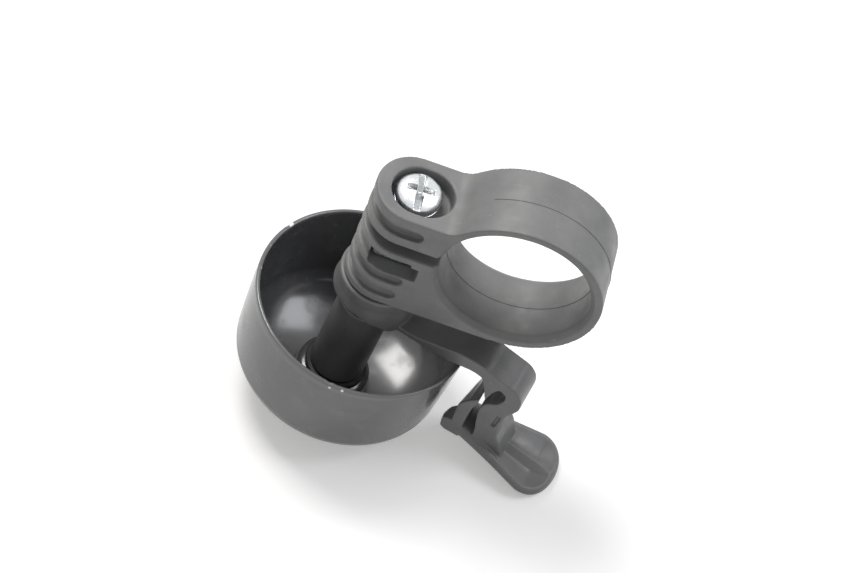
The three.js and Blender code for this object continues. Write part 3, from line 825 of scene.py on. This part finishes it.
@dataclass
class Dome:
    """The steel dome."""

    rim_z: float = -21.43
    rim: float = 17.0
    skirt: float = 16.4
    skirt_depth: float = 13.6
    depth: float = 20.5
    wall: float = 0.7
    dish: float = 5.2
    dish_z: float = -39.5
    hole: float = 2.2
    chips: tuple[Point2, ...] = ((-1.68, 0.55), (-1.58, 0.8), (2.62, 0.4))

    def line(self, inset: float) -> list[Point2]:
        """The wall's line from the rim to the screw hole, moved in by inset."""
        cap_z = self.rim_z - self.skirt_depth
        radius, drop = self.skirt - inset, self.depth - self.skirt_depth - inset
        lip = self.dish + 1.1 - (0.25 if inset else 0)
        end = math.acos(lip / radius)
        flare = self.rim - self.skirt
        skirt = [(self.rim - inset - flare * (t / 30) ** 1.6, self.rim_z - 0.3 - (self.skirt_depth - 0.3) * t / 30)
                 for t in range(30)]
        cap = [(radius * math.cos(end * i / 44), cap_z - drop * math.sin(end * i / 44)) for i in range(45)]
        low = cap[-1][1]
        floor = self.dish_z + inset
        roll = [(lip - 0.35, low - 0.08), (lip - 0.7, low + 0.05), (self.dish + 0.1 + inset * 0.2, low + 0.5 + inset * 0.3)]
        flat = [(self.dish + inset * 0.6, floor - 0.35), (self.dish - 0.4 + inset * 0.6, floor), (self.hole, floor)]
        return skirt + cap + roll + flat

    def shell(self, paint: bpy.types.Material) -> bpy.types.Object:
        """The dome itself, with small dents where its rim is chipped."""
        outer, inner = self.line(0.0), self.line(self.wall)
        edge = arc((self.rim - self.wall / 2, self.rim_z - 0.3), self.wall / 2, 180, 0, 10)
        profile = list(reversed(inner)) + edge + outer
        mesh = turned(profile, POST_X, 256)
        for vertex in mesh.vertices:
            x, y, z = vertex.co.x - POST_X, vertex.co.y, vertex.co.z
            if z < self.rim_z - 0.9:
                continue
            turn = math.atan2(y, x)
            for angle, size in self.chips:
                away = abs(math.remainder(turn - angle, 2 * math.pi)) * self.rim
                bite = max(0.0, 1 - (away / size) ** 2) * (0.6 + 0.4 * math.sin(41 * turn))
                vertex.co.z -= 0.28 * bite * min(1.0, (z - self.rim_z + 0.9) / 0.6)
        work = Workpiece(moved(mesh, leaning()))
        piece = work.finish("dome_shell", paint)
        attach(piece, "frame")
        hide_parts("bell_dome")
        return piece


@dataclass
class PanScrew:
    """A pan-head screw with a slot across its head and a cross recess."""

    head: float
    height: float
    seat: float
    tip: float
    turn: float
    radius: float = 1.85

    def crown(self, r: float) -> float:
        """The head's height above its seat at a radius."""
        u = min(r / self.head, 1.0)
        return self.height * (0.36 + 0.64 * math.sqrt(max(0.0, 1 - u**2.6)))

    def recess(self, x: float, y: float) -> float:
        """The height of the recess's floor above the seat."""
        def step(value: float, edge: float) -> float:
            return min(max((edge - value) / 0.14 + 0.5, 0.0), 1.0)

        top = self.height
        slot = step(abs(x), 0.56)
        cross = step(abs(y), 0.5) * step(abs(x), 2.0)
        stem = step(abs(x), 0.5) * step(abs(y), 1.9)
        depth = max(slot * 1.0, cross * (1.45 - 0.35 * abs(x)), stem * (1.5 - 0.35 * abs(y)))
        return top - depth

    def mesh(self, x: float, zinc: bpy.types.Material, down: bool = False) -> bpy.types.Mesh:
        """Makes head and threaded shank.

        Args:
            x: where the screw's axis stands.
            zinc: its finish.
            down: whether the head is at the lower end.

        Returns:
            One mesh of head and shank.
        """
        rings, around = 84, 180
        vertices, faces = [], []
        radii = [self.head * (i + 1) / rings for i in range(rings)]
        vertices.append((0, 0, min(self.crown(0), self.recess(0, 0))))
        for r in radii:
            for k in range(around):
                a = 2 * math.pi * k / around
                px, py = r * math.cos(a), r * math.sin(a)
                deep = max(abs(px), abs(py)) < self.head
                z = min(self.crown(r), self.recess(px, py)) if deep else self.crown(r)
                vertices.append((px, py, max(z, 0.3)))
        faces += [(0, 1 + k, 1 + (k + 1) % around) for k in range(around)]
        for i in range(rings - 1):
            for k in range(around):
                m = (k + 1) % around
                a, b = 1 + i * around, 1 + (i + 1) * around
                faces.append((a + k, b + k, b + m, a + m))
        skirt = len(vertices)
        for r, z in ((self.head, 0.25), (self.head - 0.12, 0.0), (1.4, 0.0)):
            angles = [2 * math.pi * k / around for k in range(around)]
            vertices += [(r * math.cos(a), r * math.sin(a), z) for a in angles]
        last = 1 + (rings - 1) * around
        for low in (skirt, skirt + around, skirt + 2 * around):
            faces += [(last + k, low + k, low + (k + 1) % around, last + (k + 1) % around) for k in range(around)]
            last = low
        faces.append(tuple(last + k for k in range(around)))
        head = new_mesh("head", vertices, faces)
        length = abs(self.seat - self.tip) - 0.05
        thread = {"Radius": self.radius, "Depth": 0.5, "Pitch": 0.7, "Length": length, "Foot": -length}
        shank = thread_tree(zinc).run("shank", thread)
        whole = bmesh.new()
        whole.from_mesh(shank)
        bmesh.ops.holes_fill(whole, edges=whole.edges, sides=200)
        bmesh.ops.recalc_face_normals(whole, faces=whole.faces)
        whole.from_mesh(head)
        mesh = bpy.data.meshes.new("screw")
        whole.to_mesh(mesh)
        whole.free()
        mesh.transform(Matrix.Rotation(self.turn, 4, "Z"))
        if down:
            mesh.transform(Matrix.Rotation(math.pi, 4, "X"))
        mesh.transform(Matrix.Translation((x, 0, self.seat)))
        return mesh


@dataclass
class Fixings:
    """The clamp's screw, washer and nut, and the dome's screw, washer and spacer."""

    pieces: list[bpy.types.Object] = field(default_factory=list)

    def place(self, mesh: bpy.types.Mesh, name: str, material: bpy.types.Material, body: str, node: str, slot: str) -> None:
        """Finishes one fixing and ties it to its body.

        Args:
            mesh: the fixing's mesh in millimetres.
            name: the piece's name.
            material: its finish.
            body: the body it rides on.
            node: the CAD node that it stands for.
            slot: the record's material slot; not used.
        """
        piece = Workpiece(mesh).finish(name, material)
        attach(piece, body)
        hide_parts(node)
        self.pieces.append(piece)

    def rounded_ring(self, inner: float, outer: float, low: float, high: float, x: float, edge: float = 0.12) -> bpy.types.Mesh:
        """A ring with rounded edges."""
        profile = [
            (inner, low + edge), (inner + edge * 0.3, low + edge * 0.3), (inner + edge, low),
            (outer - edge, low), (outer - edge * 0.3, low + edge * 0.3), (outer, low + edge),
            (outer, high - edge), (outer - edge * 0.3, high - edge * 0.3), (outer - edge, high),
            (inner + edge, high), (inner + edge * 0.3, high - edge * 0.3), (inner, high - edge),
        ]
        return turned(profile, x, 120)

    def nut(self) -> bpy.types.Mesh:
        """The square nut, with its corners turned off and a threaded hole."""
        half, top, low = 3.5, -3.35, -5.55
        work = Workpiece(block((CLAMP_X - half, -half, low), (CLAMP_X + half, half, top)))
        work.keep(turned([(0.0, low), (4.3, low), (4.75, low + 0.35), (4.75, top - 0.35), (4.3, top), (0.0, top)], CLAMP_X, 96))
        work.cut(prism(arc((CLAMP_X, 0), 2.15, 0, 350, 36), -9, 0, Axis.Z))
        work.soften(0.12, 2)
        return work.take()

    def build(self, zinc: bpy.types.Material, bright: bpy.types.Material, rubber: bpy.types.Material,
              plastic: bpy.types.Material) -> list[bpy.types.Object]:
        """Makes all the fixings.

        Args:
            zinc: the nut's, washer's and dome screw's finish.
            bright: the clamp screw's finish, with painted shade in its recess.
            rubber: the dome washer's finish.
            plastic: the spacer's finish.

        Returns:
            The finished pieces.
        """
        lean = leaning()
        clamp = PanScrew(head=3.45, height=2.1, seat=5.6, tip=-7.0, turn=math.radians(5))
        self.place(clamp.mesh(CLAMP_X, bright), "clamp_screw_detailed", bright, "screw", "clamp_screw", "zinc_steel")
        self.place(self.rounded_ring(2.2, 3.4, 4.7, 5.3, CLAMP_X), "clamp_washer_detailed", zinc, "washer", "clamp_washer", "zinc_steel")
        self.place(self.nut(), "clamp_nut_detailed", zinc, "frame", "clamp_nut", "zinc_steel")
        dome = PanScrew(head=3.8, height=1.4, seat=-39.8, tip=-12.0, turn=0.4)
        self.place(moved(dome.mesh(POST_X, zinc, down=True), lean), "dome_screw_detailed", zinc, "frame", "dome_screw", "zinc_steel")
        self.place(moved(self.rounded_ring(2.2, 4.8, -38.5, -37.7, POST_X), lean), "dome_isolator_detailed", rubber, "frame",
                   "dome_isolator", "isolator_rubber")
        self.place(moved(self.rounded_ring(2.2, 4.3, -37.4, -20.7, POST_X, 0.3), lean), "dome_spacer_detailed", plastic, "frame",
                   "dome_spacer", "lever_plastic")
        return self.pieces


# ---------------------------------------------------------------- studio


@dataclass
class Studio:
    """Camera, floor, lamps and world."""

    eye: tuple[float, float, float] = (-0.03712, -0.24877, 0.31380)
    right: tuple[float, float, float] = (0.9419, 0.2259, 0.2486)
    up: tuple[float, float, float] = (-0.3296, 0.7642, 0.5545)
    lens: float = 117.3
    ambient: float = 0.34

    def camera(self) -> None:
        """Places the camera, before anything else is made."""
        data = bpy.data.cameras.new("camera")
        data.lens, data.sensor_width = self.lens, 36.0
        data.clip_start, data.clip_end = 0.01, 20.0
        camera = bpy.data.objects.new("camera", data)
        bpy.context.scene.collection.objects.link(camera)
        side, top = Vector(self.right).normalized(), Vector(self.up)
        top = (top - side * top.dot(side)).normalized()
        back = side.cross(top)
        turn = Matrix((side, top, back)).transposed().to_4x4()
        camera.matrix_world = Matrix.Translation(self.eye) @ turn
        bpy.context.scene.camera = camera

    def softbox(self, name: str, direction: Sequence[float], distance: float, size: Point2, power: float,
                colour: Sequence[float] = (1, 1, 1)) -> None:
        """Hangs a soft lamp that looks at the bell.

        Args:
            name: the lamp's name.
            direction: where it hangs, seen from the bell.
            distance: how far away, in metres.
            size: its width and height, in metres.
            power: its power in watts.
            colour: its colour.
        """
        data = bpy.data.lights.new(name, "AREA")
        data.shape, data.size, data.size_y, data.energy = "RECTANGLE", size[0], size[1], power
        data.color = tuple(colour)
        lamp = bpy.data.objects.new(name, data)
        bpy.context.scene.collection.objects.link(lamp)
        away = Vector(direction).normalized()
        target = Vector((-0.010, 0.0, -0.015))
        lamp.location = target + away * distance
        lamp.rotation_euler = away.to_track_quat("Z", "Y").to_euler()

    def lamps(self) -> None:
        """Hangs the studio's lamps and sets the world."""
        self.softbox("key", (-0.42, 0.36, 0.83), 0.9, (0.36, 0.36), 5.4, (1, 0.99, 0.975))
        self.softbox("fill", (0.57, 0.21, 0.79), 0.9, (0.42, 0.34), 2.4, (0.94, 0.96, 1))
        world = bpy.data.worlds.new("studio")
        bpy.context.scene.world = world
        world.use_nodes = True
        nodes, links = world.node_tree.nodes, world.node_tree.links
        path = nodes.new("ShaderNodeLightPath")
        seen = nodes.new("ShaderNodeMath")
        seen.operation = "MAXIMUM"
        links.new(path.outputs["Is Camera Ray"], seen.inputs[0])
        shiny = nodes.new("ShaderNodeMath")
        shiny.operation = "MAXIMUM"
        links.new(path.outputs["Is Glossy Ray"], shiny.inputs[0])
        links.new(path.outputs["Is Transmission Ray"], shiny.inputs[1])
        links.new(shiny.outputs[0], seen.inputs[1])
        level = nodes.new("ShaderNodeMapRange")
        level.inputs["To Min"].default_value = self.ambient
        links.new(seen.outputs[0], level.inputs["Value"])
        links.new(level.outputs[0], nodes["Background"].inputs["Strength"])
        nodes["Background"].inputs["Color"].default_value = (1, 1, 1, 1)

    def floor(self, dome: bpy.types.Object, lever: bpy.types.Object) -> None:
        """Lays the floor where the dome and the paddle's end both touch it.

        Args:
            dome: the dome's finished piece.
            lever: the lever's finished piece.
        """
        first = np.array([v.co for v in dome.data.vertices])
        second = np.array([v.co for v in lever.data.vertices])
        low, high = 0.0, math.radians(30)
        for _ in range(40):
            tilt = (low + high) / 2
            normal = np.array([-math.sin(tilt), 0.0, math.cos(tilt)])
            if (first @ normal).min() < (second @ normal).min():
                low = tilt
            else:
                high = tilt
        height = float(min((first @ normal).min(), (second @ normal).min())) - 0.00002
        log.info("the floor tilts by %.2f degrees", math.degrees(tilt))
        up = Vector(normal)
        side = Vector((0, 1, 0)).cross(up).normalized()
        turn = Matrix((side, up.cross(side), up)).transposed().to_4x4()
        mesh = bpy.data.meshes.new("floor")
        points = [(0.6 * math.cos(2 * math.pi * k / 64), 0.6 * math.sin(2 * math.pi * k / 64), 0) for k in range(64)]
        mesh.from_pydata(points, [], [tuple(range(64))])
        mesh.transform(Matrix.Translation(up * height) @ turn)
        mesh.materials.append(Paper().make())
        floor = bpy.data.objects.new("floor", mesh)
        bpy.context.scene.collection.objects.link(floor)


def main() -> None:
    """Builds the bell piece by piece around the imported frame."""
    logging.basicConfig(level=logging.INFO, format="%(message)s")
    bpy.context.scene.view_settings.view_transform = "Standard"
    studio = Studio()
    studio.camera()
    bracket_plastic = MouldedPlastic("bracket_plastic_grain", 0.19, 0.5).make()
    lever_plastic = MouldedPlastic("lever_plastic_satin", 0.16, 0.36, grain=3600.0, depth=0.000012).make()
    paint = GlossPaint("gloss_black_paint", -0.02143, (
        (-0.0197, -0.0172, -0.0215, 0.0003), (-0.0178, -0.0172, -0.0212, 0.0003), (-0.0326, 0.0084, -0.0210, 0.0005),
    )).make()
    zinc = ZincPlate("bright_zinc_plate").make()
    bright = ZincPlate("clamp_screw_zinc_painted_recess_shade", 0.78, (CLAMP_X * MM, 0.00655, 0.00725)).make()
    rubber = MouldedPlastic("black_rubber", 0.03, 0.7).make()
    ClampBracket().build(bracket_plastic)
    lever = StrikerLever().build(lever_plastic)
    dome = Dome().shell(paint)
    Fixings().build(zinc, bright, rubber, lever_plastic)
    studio.lamps()
    studio.floor(dome, lever)


if __name__ == "__main__":
    main()
